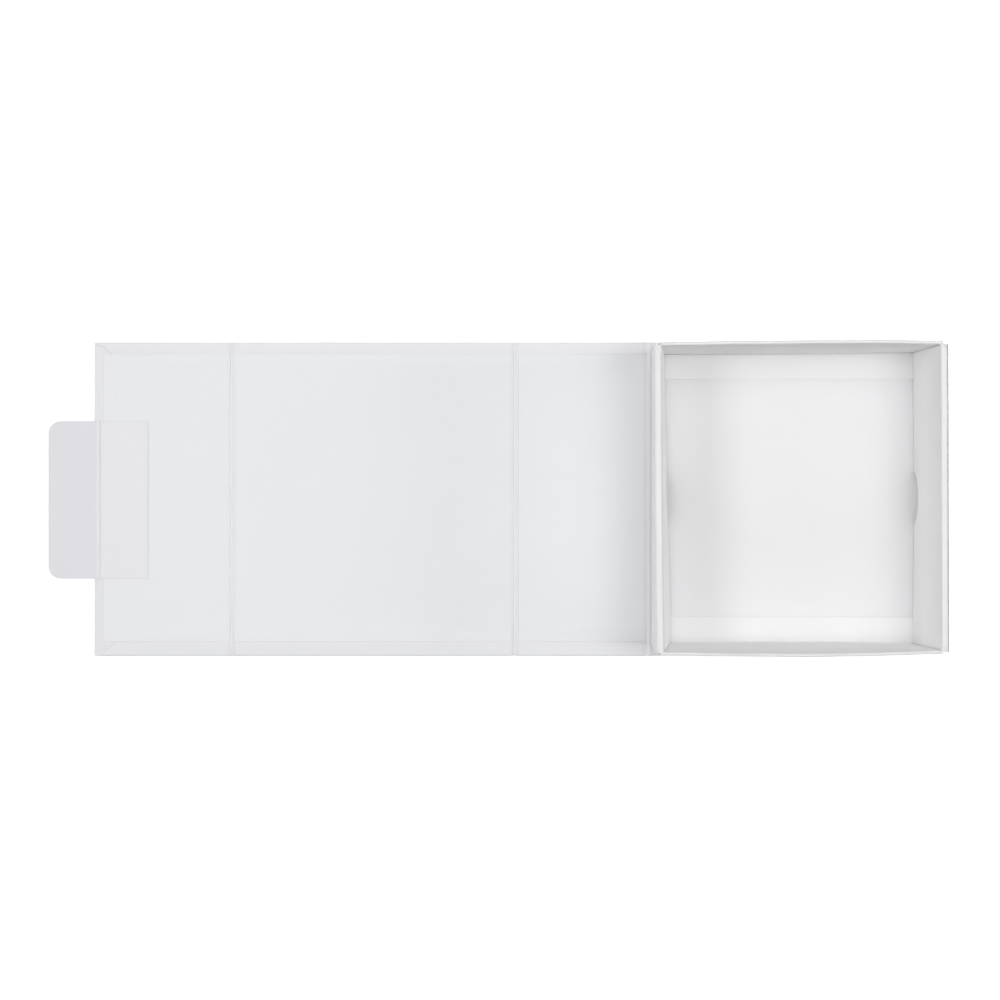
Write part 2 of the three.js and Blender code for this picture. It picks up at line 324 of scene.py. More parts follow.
def paper_group():
    """Uncoated paper: fine fibres and a soft mottle, as colour, roughness and height."""
    group = bpy.data.node_groups.new("paper surface", "ShaderNodeTree")
    face = group.interface
    inputs = (
        ("Colour", "NodeSocketColor", (0.8, 0.8, 0.8, 1)),
        ("Mottle", "NodeSocketFloat", 0.01),
        ("Fibre", "NodeSocketFloat", 0.02),
        ("Fibre Scale", "NodeSocketFloat", 900.0),
        ("Roughness", "NodeSocketFloat", 0.6),
    )
    for name, kind, value in inputs:
        face.new_socket(name, in_out="INPUT", socket_type=kind).default_value = value
    face.new_socket("Colour", in_out="OUTPUT", socket_type="NodeSocketColor")
    face.new_socket("Roughness", in_out="OUTPUT", socket_type="NodeSocketFloat")
    face.new_socket("Height", in_out="OUTPUT", socket_type="NodeSocketFloat")

    nodes, links = group.nodes, group.links
    given = nodes.new("NodeGroupInput")
    result = nodes.new("NodeGroupOutput")
    place = nodes.new("ShaderNodeTexCoord")

    fibre = nodes.new("ShaderNodeTexNoise")
    socket_value(fibre, "Detail", 6.0)
    socket_value(fibre, "Roughness", 0.65)
    socket_value(fibre, "Distortion", 0.6)
    links.new(place.outputs["Object"], fibre.inputs["Vector"])
    links.new(given.outputs["Fibre Scale"], fibre.inputs["Scale"])

    mottle = nodes.new("ShaderNodeTexNoise")
    socket_value(mottle, "Scale", 22.0)
    socket_value(mottle, "Detail", 3.0)
    links.new(place.outputs["Object"], mottle.inputs["Vector"])

    def spread(source, amount):
        """The noise, centred on 0 and scaled by one of the group's inputs."""
        centred = nodes.new("ShaderNodeMath")
        centred.operation = "SUBTRACT"
        centred.inputs[1].default_value = 0.5
        links.new(source, centred.inputs[0])
        scaled = nodes.new("ShaderNodeMath")
        scaled.operation = "MULTIPLY"
        links.new(centred.outputs[0], scaled.inputs[0])
        links.new(amount, scaled.inputs[1])
        return scaled.outputs[0]

    both = nodes.new("ShaderNodeMath")
    both.operation = "ADD"
    links.new(spread(mottle.outputs["Fac"], given.outputs["Mottle"]), both.inputs[0])
    links.new(spread(fibre.outputs["Fac"], given.outputs["Fibre"]), both.inputs[1])
    level = nodes.new("ShaderNodeMath")
    level.operation = "ADD"
    level.inputs[1].default_value = 1.0
    links.new(both.outputs[0], level.inputs[0])
    tint = nodes.new("ShaderNodeVectorMath")
    tint.operation = "SCALE"
    links.new(given.outputs["Colour"], tint.inputs[0])
    links.new(level.outputs[0], tint.inputs["Scale"])
    links.new(tint.outputs[0], result.inputs["Colour"])

    rough = nodes.new("ShaderNodeMath")
    rough.operation = "ADD"
    links.new(given.outputs["Roughness"], rough.inputs[0])
    links.new(spread(fibre.outputs["Fac"], given.outputs["Fibre"]), rough.inputs[1])
    links.new(rough.outputs[0], result.inputs["Roughness"])
    links.new(fibre.outputs["Fac"], result.inputs["Height"])
    return group


paper_surface = paper_group()


def paper(name, colour, roughness, mottle, fibre, fibre_scale, relief):
    """A paper or card finish. relief is the height of its fibres, in millimetres."""
    material = bpy.data.materials.new(name)
    material.use_nodes = True
    nodes, links = material.node_tree.nodes, material.node_tree.links
    shader = nodes["Principled BSDF"]
    surface = nodes.new("ShaderNodeGroup")
    surface.node_tree = paper_surface
    socket_value(surface, "Colour", (*colour, 1))
    socket_value(surface, "Mottle", mottle)
    socket_value(surface, "Fibre", fibre)
    socket_value(surface, "Fibre Scale", fibre_scale)
    socket_value(surface, "Roughness", roughness)
    bump = nodes.new("ShaderNodeBump")
    socket_value(bump, "Strength", 1.0)
    socket_value(bump, "Distance", relief * MM)
    links.new(surface.outputs["Height"], bump.inputs["Height"])
    links.new(surface.outputs["Colour"], shader.inputs["Base Color"])
    links.new(surface.outputs["Roughness"], shader.inputs["Roughness"])
    links.new(bump.outputs["Normal"], shader.inputs["Normal"])
    return material


def colour_group(name, inputs):
    """A node group that changes a colour. Gives the group, its input and its output."""
    group = bpy.data.node_groups.new(name, "ShaderNodeTree")
    face = group.interface
    for socket, kind in (("Colour", "NodeSocketColor"), *inputs):
        face.new_socket(socket, in_out="INPUT", socket_type=kind)
    face.new_socket("Colour", in_out="OUTPUT", socket_type="NodeSocketColor")
    return group, group.nodes.new("NodeGroupInput"), group.nodes.new("NodeGroupOutput")


def shade_colour(group, given, amount, result):
    """Multiplies the group's colour by its shade, as far as amount says."""
    tint = group.nodes.new("ShaderNodeMix")
    tint.data_type = "RGBA"
    tint.blend_type = "MULTIPLY"
    ends = {socket.identifier: socket for socket in (*tint.inputs, *tint.outputs)}
    group.links.new(amount, ends["Factor_Float"])
    group.links.new(given.outputs["Colour"], ends["A_Color"])
    group.links.new(given.outputs["Shade"], ends["B_Color"])
    group.links.new(ends["Result_Color"], result.inputs["Colour"])


def fade_group():
    """Shades a colour where a place is at Full, fading away towards Plain."""
    floats = tuple((name, "NodeSocketFloat") for name in ("Place", "Full", "Plain"))
    group, given, result = colour_group("fading shade", (("Shade", "NodeSocketColor"), *floats))
    level = group.nodes.new("ShaderNodeMapRange")
    level.interpolation_type = "SMOOTHSTEP"
    socket_value(level, "To Min", 1.0)
    socket_value(level, "To Max", 0.0)
    group.links.new(given.outputs["Place"], level.inputs["Value"])
    group.links.new(given.outputs["Full"], level.inputs["From Min"])
    group.links.new(given.outputs["Plain"], level.inputs["From Max"])
    shade_colour(group, given, level.outputs["Result"], result)
    return group


def fold_shade_group():
    """Darkens a sheet's folds in uneven patches, as painted shade and fold wear, as its attribute
    says.
    """
    group, given, result = colour_group("fold shade and wear", (("Shade", "NodeSocketColor"),))
    nodes, links = group.nodes, group.links
    fold = nodes.new("ShaderNodeAttribute")
    fold.attribute_name = FOLD_ATTRIBUTE
    patches = nodes.new("ShaderNodeTexNoise")
    socket_value(patches, "Scale", 420.0)
    socket_value(patches, "Detail", 4.0)
    place = nodes.new("ShaderNodeTexCoord")
    links.new(place.outputs["Object"], patches.inputs["Vector"])
    spread = nodes.new("ShaderNodeMapRange")
    socket_value(spread, "From Min", 0.3)
    socket_value(spread, "From Max", 0.7)
    socket_value(spread, "To Min", 0.75)
    socket_value(spread, "To Max", 1.25)
    links.new(patches.outputs["Fac"], spread.inputs["Value"])
    uneven = nodes.new("ShaderNodeMath")
    uneven.operation = "MULTIPLY"
    links.new(fold.outputs["Fac"], uneven.inputs[0])
    links.new(spread.outputs["Result"], uneven.inputs[1])
    shade_colour(group, given, uneven.outputs[0], result)
    return group


fading_shade = fade_group()
fold_shade_and_wear = fold_shade_group()


def overlay(material, group, shade):
    """Puts a node group between a material's colour and its shader."""
    nodes, links = material.node_tree.nodes, material.node_tree.links
    colour = nodes["Principled BSDF"].inputs["Base Color"]
    layer = nodes.new("ShaderNodeGroup")
    layer.node_tree = group
    socket_value(layer, "Shade", (*shade, 1))
    links.new(colour.links[0].from_socket, layer.inputs["Colour"])
    links.new(layer.outputs["Colour"], colour)
    return layer


def toned(material, axis, full, plain, shade):
    """Shades a material at full, less and less up to plain, two places along an axis."""
    layer = overlay(material, fading_shade, shade)
    socket_value(layer, "Full", full)
    socket_value(layer, "Plain", plain)
    nodes, links = material.node_tree.nodes, material.node_tree.links
    place = nodes.new("ShaderNodeTexCoord")
    parts = nodes.new("ShaderNodeSeparateXYZ")
    links.new(place.outputs["Object"], parts.inputs["Vector"])
    links.new(parts.outputs[axis], layer.inputs["Place"])


# Colour, roughness, mottle, fibre, fibre scale and relief in millimetres of each finish
FINISHES = {
    "wrap_paper": ((0.751, 0.753, 0.775), 0.55, 0.012, 0.018, 1400, 0.012),
    "liner_paper": ((0.768, 0.774, 0.789), 0.68, 0.016, 0.02, 1100, 0.015),
    # The cut edges of the papers and the tab get a darker grey: painted shade along those edges
    "paper_edge_shade": ((0.5, 0.5, 0.51), 0.8, 0.02, 0.06, 2400, 0.02),
    "tab_card": ((0.752, 0.75, 0.772), 0.5, 0.01, 0.014, 1600, 0.008),
    "tray_card": ((0.831, 0.827, 0.828), 0.62, 0.014, 0.02, 1200, 0.014),
    "floor_card": ((0.828, 0.827, 0.839), 0.62, 0.014, 0.02, 1200, 0.014),
    "card_core": ((0.70, 0.69, 0.665), 0.85, 0.02, 0.08, 2400, 0.03),
    "grey_board": ((0.33, 0.30, 0.25), 0.95, 0.12, 0.3, 900, 0.06),
}
finishes = [paper(name, *values) for name, values in FINISHES.items()]
wrap_paper, liner_paper, paper_edge_shade, tab_card = finishes[:4]
tray_card, floor_card, card_core, grey_board = finishes[4:]

# Slot, finish and edge rounding of the plain sheets
BOARD_STOCK = ("grey_board", grey_board, BOARD_ROUND)
CARD_STOCK = ("tray_card", tray_card, CUT_EDGE)
FLOOR_STOCK = ("tray_card", floor_card, CUT_EDGE)

# Painted shade on the tongue, darker than the glued part of the tab, and on the wrap's rounded
# front edge, darker than the rest of it. Folds are darker than their sheets, as painted shade
# with some wear. The tray card is darker near the top of its rims
TONGUE_SHADE = (0.925, 0.922, 0.94)
RIM_SHADE = (0.89, 0.893, 0.905)
FRONT_EDGE_SHADE = (0.68, 0.68, 0.69)
FOLD_SHADE = (0.3, 0.29, 0.32)
# Down from the rim's top: where its shade starts to fade, and where it ends
RIM_SHADE_FULL = 0.5 * MM
RIM_SHADE_END = 2.2 * MM
FRONT_SHADE_REACH = 0.8 * MM
rim_top = high("right_outer_wall").z
toned(tab_card, "X", low("flap_wrap").x, joints["tongue_fold"]["pos_m"][0], TONGUE_SHADE)
toned(tray_card, "Z", rim_top - RIM_SHADE_FULL, rim_top - RIM_SHADE_END, RIM_SHADE)
toned(wrap_paper, "Y", COVER_FRONT, COVER_FRONT + FRONT_SHADE_REACH, FRONT_EDGE_SHADE)
# Painted shade and fold wear on the folds and creases of these sheets
for folded in (tray_card, tab_card, liner_paper):
    overlay(folded, fold_shade_and_wear, FOLD_SHADE)


# Cover: the wrap's skin, before it has its thickness
def wrap_skin(x0, x1, free_left, free_right):
    """Underside, rounded edges and turned-in lips. It runs on past the hinges at first, so
    that insetting its top gives mitred corners only where the panel has real ones."""
    run_on = 2 * TURN_IN
    bm = bmesh.new()
    start = x0 if free_left else x0 - run_on
    stop = x1 if free_right else x1 + run_on
    block(bm, start, stop, COVER_FRONT, COVER_BACK, 0, LIP_TOP)
    window = [f for f in bm.faces if f.normal.z > 0.9]
    bmesh.ops.inset_region(bm, faces=window, thickness=TURN_IN, use_even_offset=True)
    bmesh.ops.delete(bm, geom=window, context="FACES")
    bevel(bm, folds(bm), EDGE_ROUND, WRAP_SEGMENTS)
    if not free_left:
        cut(bm, (x0, 0, 0), (-1, 0, 0), clear=True)
    if not free_right:
        cut(bm, (x1, 0, 0), (1, 0, 0), clear=True)
    return bm


# The mitre at a free corner, as shares of the turn-in: along X and Y from the corner inwards
BACK_SEAM_SHARES = (
    (-0.05, -0.05), (0.16, 0.13), (0.36, 0.17), (0.77, 0.53), (0.97, 0.57), (1.03, 0.72)
)
FRONT_SEAM_SHARES = (
    (-0.05, -0.02), (0.1, -0.01), (0.26, 0.02), (0.34, 0.08), (0.79, 0.52), (1.03, 0.68)
)
BACK_SEAM_WIDTH = 0.15 * MM
FRONT_SEAM_WIDTH = 0.1 * MM
SEAM_HALF_DEPTH = 1.5 * WRAP_THICK


def seam_cutter(corner_x, inward_x, at_back):
    """A thin upright ribbon along a mitre, taken out of the lips."""
    corner_y, inward_y = (COVER_BACK, -1) if at_back else (COVER_FRONT, 1)
    shares = BACK_SEAM_SHARES if at_back else FRONT_SEAM_SHARES
    width = BACK_SEAM_WIDTH if at_back else FRONT_SEAM_WIDTH
    bm = bmesh.new()
    path = []
    for along, across in shares:
        x = corner_x + inward_x * along * TURN_IN
        y = corner_y + inward_y * across * TURN_IN
        path.append(bm.verts.new((x, y, LIP_TOP - SEAM_HALF_DEPTH)))
    edges = [bm.edges.new(pair) for pair in zip(path, path[1:])]
    raised = bmesh.ops.extrude_edge_only(bm, edges=edges)["geom"]
    tops = [v for v in raised if isinstance(v, bmesh.types.BMVert)]
    bmesh.ops.translate(bm, vec=(0, 0, 2 * SEAM_HALF_DEPTH), verts=tops)
    return make_piece("seam", bm, (), thickness=width)


def carve(piece, cutter):
    """Takes the cutter's volume out of the piece."""
    boolean = piece.modifiers.new("carve", "BOOLEAN")
    boolean.operation = "DIFFERENCE"
    boolean.solver = "EXACT"
    boolean.object = cutter
    applied(piece)
    bpy.data.objects.remove(cutter)


def sheet_ends(node, free_left, free_right):
    """Where a panel's sheet starts and stops. Beside a hinge it leaves the shoulder to it."""
    lo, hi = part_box(node)
    start = lo.x if free_left else lo.x + SHOULDER
    stop = hi.x if free_right else hi.x - SHOULDER
    return start, stop


def panel_wrap(panel, free_left, free_right):
    x0, x1 = sheet_ends(f"{panel}_wrap", free_left, free_right)
    bm = wrap_skin(x0, x1, free_left, free_right)
    piece = make_piece(f"{panel}_wrap_paper", bm, (wrap_paper,), thickness=WRAP_THICK)
    if free_left or free_right:
        corner_x, inward_x = (x0, 1) if free_left else (x1, -1)
        for at_back in (True, False):
            carve(piece, seam_cutter(corner_x, inward_x, at_back))
        shaded(piece)
    if panel == "base":
        front_drawn_in(piece)
    place_piece(piece, panel, f"{panel}_wrap")


# Where the liner is cut beside a turned-in edge, as shares of the step's run
STEP_CUT_SHARES = (-0.4, 0, 0.25, 0.5, 0.75, 1, 2.5, 4.5, 7, 10)


def liner_height(x, y, free_left_x, free_right_x):
    """The liner's top: high over the turned-in paper, and low beyond it."""
    reach = min(y - COVER_FRONT, COVER_BACK - y)
    if free_left_x is not None:
        reach = min(reach, x - free_left_x)
    if free_right_x is not None:
        reach = min(reach, free_right_x - x)
    past = reach - TURN_IN
    crisp = 1 - smoothstep(past / STEP_RUN)
    spread = 1 - smoothstep(past / STEP_SPREAD)
    share = STEP_CRISP_SHARE * crisp + (1 - STEP_CRISP_SHARE) * spread
    return LINER_LOW + (LINER_TOP - LINER_LOW) * share


def trim(piece, x, outwards):
    """Cuts a sheet off square at x, so that a hinge's strip can carry on from there."""
    bm = bmesh.new()
    bm.from_mesh(piece.data)
    cut(bm, (x, 0, 0), (outwards, 0, 0), clear=True)
    bmesh.ops.holes_fill(bm, edges=[e for e in bm.edges if e.is_boundary])
    bm.to_mesh(piece.data)
    bm.free()


def cut_at_steps(bm, axis, edge, inward):
    """Cuts beside a turned-in edge, where the liner steps down."""
    for share in STEP_CUT_SHARES:
        cross_cut(bm, axis, edge + inward * (TURN_IN + share * STEP_RUN))


def sheet_grid(x0, x1, y0, y1, z, step=LOOP_STEP):
    """A level sheet with cross cuts, facing up."""
    bm = bmesh.new()
    bmesh.ops.create_grid(bm, x_segments=1, y_segments=1, size=UNIT / 2)
    bmesh.ops.scale(bm, vec=(x1 - x0, y1 - y0, 1), verts=bm.verts[:])
    bmesh.ops.translate(bm, vec=((x0 + x1) / 2, (y0 + y1) / 2, z), verts=bm.verts[:])
    loops_along(bm, 0, x0, x1, step)
    loops_along(bm, 1, y0, y1, step)
    return bm


def liner_sheet(x0, x1, step=LOOP_STEP):
    """The liner over a panel or a hinge, still level, cut along its front and back steps."""
    bm = sheet_grid(x0, x1, LINER_FRONT, LINER_BACK, LINER_TOP, step)
    cut_at_steps(bm, 1, COVER_FRONT, 1)
    cut_at_steps(bm, 1, COVER_BACK, -1)
    return bm


def panel_liner(panel, free_left, free_right):
    x0, x1 = sheet_ends(f"{panel}_liner", free_left, free_right)
    start = x0 if free_left else x0 - JOIN_SPARE
    stop = x1 if free_right else x1 + JOIN_SPARE
    bm = liner_sheet(start, stop)
    left = low(f"{panel}_wrap").x if free_left else None
    right = high(f"{panel}_wrap").x if free_right else None
    if free_left:
        cut_at_steps(bm, 0, left, 1)
    if free_right:
        cut_at_steps(bm, 0, right, -1)
    for v in bm.verts:
        v.co.z = liner_height(v.co.x, v.co.y, left, right)
    sheets = (liner_paper, paper_edge_shade)
    name = f"{panel}_liner_paper"
    piece = make_piece(name, bm, sheets, thickness=LINER_THICK, cut_edge=LINER_EDGE, even=False)
    if not free_left:
        trim(piece, x0, -1)
    if not free_right:
        trim(piece, x1, 1)
    shaded(piece)
    if panel == "base":
        front_drawn_in(piece)
    place_piece(piece, panel, f"{panel}_liner")


def softened_board(node, name, body, slot, material, rounding):
    """A copy of a plain sheet of board or card, with its edges eased."""
    bm = bmesh.new()
    bm.from_mesh(frame_nodes[node].data)
    bmesh.ops.remove_doubles(bm, verts=bm.verts[:], dist=SAME_POINT)
    bmesh.ops.dissolve_limit(bm, angle_limit=FLAT_ANGLE, verts=bm.verts[:], edges=bm.edges[:])
    bevel(bm, folds(bm, BOARD_EDGE_ANGLE), rounding, EASED_SEGMENTS)
    piece = make_piece(name, bm, (material,))
    place_piece(piece, body, node)
    return piece


# Hinges: the paper between two panels, pressed into a groove
GROOVE_CUT_SHARES = (0, 0.12, 0.25, 0.38, 0.5, 0.62, 0.75, 0.88, 1)
GROOVE_FLOOR_PARTS = 6
HINGE_BEND_HALF = 0.9 * MM


def groove_share(x, left, right, wall):
    """1 on the panels and 0 on the groove's floor."""
    depth = min(x - left, right - x)
    return 1 - smoothstep(depth / wall)


def groove_cuts(bm, left, right, wall):
    for share in GROOVE_CUT_SHARES:
        cross_cut(bm, 0, left + share * wall)
        cross_cut(bm, 0, right - share * wall)
    loops_along(bm, 0, left + wall, right - wall, (right - left - 2 * wall) / GROOVE_FLOOR_PARTS)


def hinge(name, right_body, left_body, joint, groove_floor, shade_and_wear):
    """The wrap and the liner of one hinge.
    The last argument gives the painted shade and pressed-paper wear on the groove's left and
    right wall."""
    wrap_lo, wrap_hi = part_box(f"{name}_wrap")
    glue = high(f"{name}_liner").x - wrap_hi.x
    left, right = wrap_lo.x - glue, wrap_hi.x + glue
    axis_x, _, axis_z = joints[joint]["pos_m"]
    end_x = max(left + GROOVE_WALL, axis_x - HINGE_BEND_HALF)
    # Where the groove's left wall reaches past the axis, end_x is put just left of the axis
    if end_x > axis_x:
        end_x = axis_x - LINER_BED

    x0, x1 = left - SHOULDER, right + SHOULDER
    bm = wrap_skin(x0, x1, False, False)
    groove_cuts(bm, left, right, GROOVE_WALL)
    floor_share = groove_floor / LIP_TOP
    for v in bm.verts:
        share = groove_share(v.co.x, left, right, GROOVE_WALL)
        v.co.z *= floor_share + (1 - floor_share) * share
    piece = make_piece(f"{name}_wrap_paper", bm, (wrap_paper,), thickness=WRAP_THICK)
    join_piece(piece, (f"{name}_wrap",))

    bm = liner_sheet(x0, x1, HINGE_STEP)
    inner_left, inner_right = left + LINER_BED, right - LINER_BED
    groove_cuts(bm, inner_left, inner_right, GROOVE_WALL)
    floor = groove_floor + LINER_BED
    for v in bm.verts:
        share = groove_share(v.co.x, inner_left, inner_right, GROOVE_WALL)
        top = liner_height(v.co.x, v.co.y, None, None)
        v.co.z = floor + (top - floor) * share
    sheets = (liner_paper,)
    piece = make_piece(f"{name}_liner_paper", bm, sheets, thickness=LINER_THICK, even=False)

    def wall_shade_and_wear(v):
        share = groove_share(v.co.x, inner_left, inner_right, GROOVE_WALL)
        return shade_and_wear[v.co.x > (left + right) / 2] * hump(share)

    mark_fold_shade(piece, wall_shade_and_wear)
    join_piece(piece, (f"{name}_liner",))


# Whether each panel's left and right edges are free, or joined to the next panel
PANEL_EDGES = {
    "base": (False, True),
    "spine": (False, False),
    "lid": (False, False),
    "flap": (True, False),
}

# Name, body on the right, body on the left, joint, height of the groove's floor, and how much
# painted shade and pressed-paper wear darken the groove's left and right wall
HINGES = (
    ("spine_hinge", "base", "spine", "spine_fold", SPINE_GROOVE_FLOOR, (0, 0)),
    ("lid_hinge", "spine", "lid", "lid_fold", LID_GROOVE_FLOOR, (0, 0.15)),
    ("flap_hinge", "lid", "flap", "flap_fold", FLAP_GROOVE_FLOOR, (0.2, 0.06)),
)


def make_cover():
    for panel, (free_left, free_right) in PANEL_EDGES.items():
        panel_wrap(panel, free_left, free_right)
        panel_liner(panel, free_left, free_right)
        board = softened_board(f"{panel}_board", f"{panel}_grey_board", panel, *BOARD_STOCK)
        if panel == "base":
            front_drawn_in(board)
    for values in HINGES:
        hinge(*values)


# Tuck tab: one card, glued down on the right of its crease and free on the left
TONGUE_CORNER = 12.9 * MM
CREASE_DEPTH = 0.3 * MM
CREASE_RIDGE = 0.1 * MM
CREASE_HALF = 0.65 * MM
CREASE_ASIDE = 0.4 * MM
CREASE_SHADE = 0.2
GLUE_THICK = 0.05 * MM
TAB_SETTLE = 9 * MM
TONGUE_DROOP = 0.65 * MM
TAB_CUT_EDGE = 0.08 * MM
RIDGE_RUN_SHARE = 3
CREASE_CUT_SHARES = (-7, -4, -2.6, -2, -1.5, -1, -0.6, -0.3, 0, 0.3, 0.6, 1, 1.5, 2, 2.6, 4, 7)


def make_tab():
    crease_x, _, crease_z = joints["tongue_fold"]["pos_m"]
    lo = low("tab_tongue")
    hi = high("tab_anchor")
    flap_edge = low("flap_wrap").x
    bm = sheet_grid(lo.x, hi.x, lo.y, hi.y, crease_z, TAB_STEP)
    for share in CREASE_CUT_SHARES:
        cross_cut(bm, 0, crease_x + CREASE_ASIDE + share * CREASE_HALF)
    tip = [v for v in bm.verts if v.co.x < lo.x + ON_LINE]
    corners = [min(tip, key=lambda v: v.co.y), max(tip, key=lambda v: v.co.y)]
    bevel(bm, corners, TONGUE_CORNER, CORNER_SEGMENTS, affect="VERTICES")

    def from_crease(x):
        return abs(x - crease_x - CREASE_ASIDE) / CREASE_HALF

    for v in bm.verts:
        away = from_crease(v.co.x)
        valley = CREASE_DEPTH * (1 - smoothstep(away))
        ridge = CREASE_RIDGE * smoothstep(away) * (1 - smoothstep((away - 1) / RIDGE_RUN_SHARE))
        droop = TONGUE_DROOP * max(0, (crease_x - v.co.x) / (crease_x - lo.x))
        glued = liner_height(v.co.x, v.co.y, flap_edge, None) + GLUE_THICK + TAB_THICK
        settled = smoothstep((v.co.x - crease_x) / TAB_SETTLE)
        v.co.z += ridge - valley - droop + settled * (glued - crease_z)
    sheets = (tab_card, paper_edge_shade)
    piece = make_piece("tuck_tab", bm, sheets, thickness=TAB_THICK, cut_edge=TAB_CUT_EDGE)
    # Painted shade in the crease's valley, with some wear of the pressed card
    mark_fold_shade(piece, lambda v: CREASE_SHADE * (1 - smoothstep(from_crease(v.co.x))))
    join_piece(piece, ("tab_anchor", "tab_tongue"))


# Tray
def swept_sheet(points, axis, stop):
    """An open sheet: a line of points, swept along an axis to stop."""
    bm = bmesh.new()
    verts = [bm.verts.new(point) for point in points]
    edges = [bm.edges.new(pair) for pair in zip(verts, verts[1:])]
    swept = bmesh.ops.extrude_edge_only(bm, edges=edges)["geom"]
    offset = Vector((0, 0, 0))
    offset[axis] = stop - points[0][axis]
    far = [v for v in swept if isinstance(v, bmesh.types.BMVert)]
    bmesh.ops.translate(bm, vec=offset, verts=far)
    bm.normal_update()
    return bm


right_lo, right_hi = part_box("right_outer_wall")
WALL_HEIGHT = right_hi.z - right_lo.z
WALL_HALF = (right_hi.y - right_lo.y) / 2
TRAY_MIDDLE_Y = (right_hi.y + right_lo.y) / 2
LEAN = math.radians(joints["left_wall_lean"]["range_deg"][1])

# Where each side wall stands: its foot, and which way is inwards
left_pivot = Vector(joints["left_wall_lean"]["pos_m"])
left_foot = Matrix.Translation((-CARD_THICK / 2, TRAY_MIDDLE_Y, -CARD_THICK / 2))
LEFT_PLACE = Matrix.Translation(left_pivot) @ Matrix.Rotation(-LEAN, 4, "Y") @ left_foot
right_foot = Matrix.Translation((right_hi.x, TRAY_MIDDLE_Y, right_lo.z))
RIGHT_PLACE = right_foot @ Matrix.Rotation(math.pi, 4, "Z")

# How far the walls have bent out of line at equal steps, as shares of the card's thickness:
# from back to front for the side walls and their inner panels, from left to right for the end
# walls. Side walls count +X, end walls outwards.
LEFT_RIM_SHARES = (-0.35, -0.15, 0.1, 0.5, 1.2)
LEFT_FOOT_SHARES = (-2.1, 0, 2.1)
RIGHT_RIM_SHARES = (0.1, 0.3, 0.4, 0.55, 0.7)
RIGHT_CREASE_SHARES = (-0.15, 0.05, 0.15, 0.3, 0.45)
RIGHT_FOOT_SHARES = (-0.8, -0.3, -0.1, -0.35, -0.75)
BACK_RIM_SHARES = (-0.65, 0.1, 0.5, 0.78, 0.2)
BACK_FOOT_SHARES = (0, 0, 0.1, 0.5, 1.2)
FRONT_RIM_SHARES = (0.65, 1.15, 1.5, 0.9, -0.35)
FRONT_FOOT_SHARES = (0.55, 0.15, 0, 0.2, 1.2)

# How much wider an inner panel is at its top and at its foot, each at the back and at the
# front, as shares of the card's thickness
LEFT_SPREAD_SHARES = ((0, 0.7), (0.1, 0.7))
RIGHT_SPREAD_SHARES = ((0.3, 0), (1.3, 1.3))

# Inner panels and their notches
LEFT_FOOT_CLEAR = 0.65 * MM
RIGHT_FOOT_CLEAR = 0.1 * MM
MIDDLE_FOOT_DROP = 0.5 * MM
NOTCH_WIDTH = 33 * MM
NOTCH_HEIGHT = 12.9 * MM

# End walls. Their left ends flare out after the left wall, and END_HOLD and END_YIELD are two
# places along them from there. Their right ends taper upwards
END_CARD_THICK = 0.6 * MM
END_WALL_FLARE = 2.0 * MM
END_WALL_TAPER = 1.7 * MM
TAPER_DROP_SHARE = 0.3
CREASE_FLOOR_SHARE = 1 / 3
INNER_INSET = 0.9 * MM
FLANGE_SINK = 0.4 * MM
END_HOLD = 1.0 * MM
END_YIELD = 12 * MM

# Waves in the card
WAVE = 0.12 * MM
WAVE_LENGTH = 26 * MM


def from_back(y):
    """Share of the way from the tray's back to its front."""
    return (TRAY_MIDDLE_Y + WALL_HALF - y) / (2 * WALL_HALF)


def wave(along, up, seed):
    """The slight unevenness of folded card."""
    return WAVE * noise.noise(Vector((along / WAVE_LENGTH, up / WAVE_LENGTH, seed)))


# The two side walls. rounds and the painted shade with fold wear are for the rim's outer and
# inner fold, and end_draws tell how much shorter the rim is than the foot, at each end.
LEFT_SIDE = {
    "rim_width": 4.9 * MM,
    "rounds": (1.9 * MM, 1.6 * MM),
    "shade_and_wear": (0.04, 0.27),
    "foot_drop": 1.0 * MM,
    "end_draws": (2.2 * MM, 0.9 * MM),
    "bend_shares": LEFT_RIM_SHARES,
    "seed": 1,
}
RIGHT_SIDE = {
    "rim_width": 4.75 * MM,
    "rounds": (1.9 * MM, 1.1 * MM),
    "shade_and_wear": (0.9, 0.05),
    "foot_drop": 0,
    "end_draws": (1.5 * MM, 1.8 * MM),
    "bend_shares": RIGHT_RIM_SHARES,
    "seed": 2,
}
# Painted shade and fold wear on the end walls' outer and inner rounds
END_RIM_SHADE_AND_WEAR = (0.27, 0.15)


